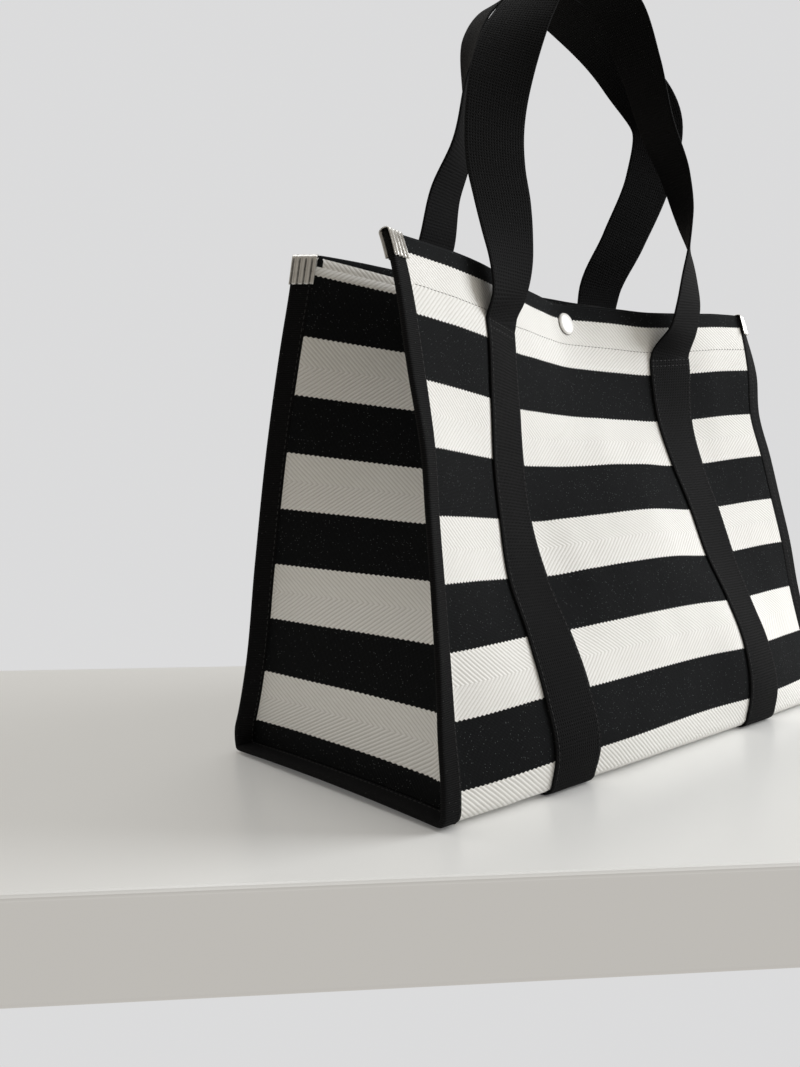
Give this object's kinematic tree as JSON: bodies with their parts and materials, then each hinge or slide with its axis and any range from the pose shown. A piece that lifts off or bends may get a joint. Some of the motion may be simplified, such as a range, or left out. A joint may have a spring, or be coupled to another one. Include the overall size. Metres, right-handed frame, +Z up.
{
  "type": "canvas tote bag",
  "caption": "Open-top striped canvas tote with a wide flat base, pleated end gussets, bound seams, a snap at the rim and webbing carrying loops.",
  "frame": {"origin": "centre of the bag's footprint, on the surface it stands on", "axes": "+Z up, +X to the bag's right seen from the front, -Y towards the front wall that carries the visible snap cap"},
  "size_m": [0.4092, 0.2092, 0.4898],
  "materials": {
    "canvas": "heavy herringbone cotton, woven in equal cream and charcoal stripes",
    "webbing": "black woven webbing, slight sheen",
    "tape": "black ribbed binding tape",
    "clip_metal": "bright nickel plate, ribbed",
    "snap_metal": "nickel plate",
    "enamel": "off-white enamel over a pressed metal cap"
  },
  "bodies": {
    "bag": {"front_panel": "canvas", "base_panel": "canvas", "back_panel": "canvas", "left_gusset": "canvas", "right_gusset": "canvas", "front_hem": "canvas", "back_hem": "canvas", "left_hem": "canvas", "right_hem": "canvas", "left_binding": "tape", "right_binding": "tape", "front_left_clip": "clip_metal", "front_right_clip": "clip_metal", "back_left_clip": "clip_metal", "back_right_clip": "clip_metal", "front_left_strap": "webbing", "front_right_strap": "webbing", "back_left_strap": "webbing", "back_right_strap": "webbing", "base_left_strap": "webbing", "base_right_strap": "webbing", "front_snap_cap": "enamel", "front_snap_socket": "snap_metal", "back_snap_cap": "enamel", "back_snap_stud": "snap_metal"},
    "front_handle": {"front_handle": "webbing"},
    "back_handle": {"back_handle": "webbing"}
  },
  "joints": [
    {"name": "front_handle_swing", "type": "hinge", "parent": "bag", "child": "front_handle", "pos_m": [0, -0.0324, 0.26542], "axis": [0.9985, 0.0555, 0], "range_deg": [0, 122]},
    {"name": "back_handle_swing", "type": "hinge", "parent": "bag", "child": "back_handle", "pos_m": [0, 0.03572, 0.26542], "axis": [-0.9998, -0.0193, 0], "range_deg": [0, 136]}
  ]
}
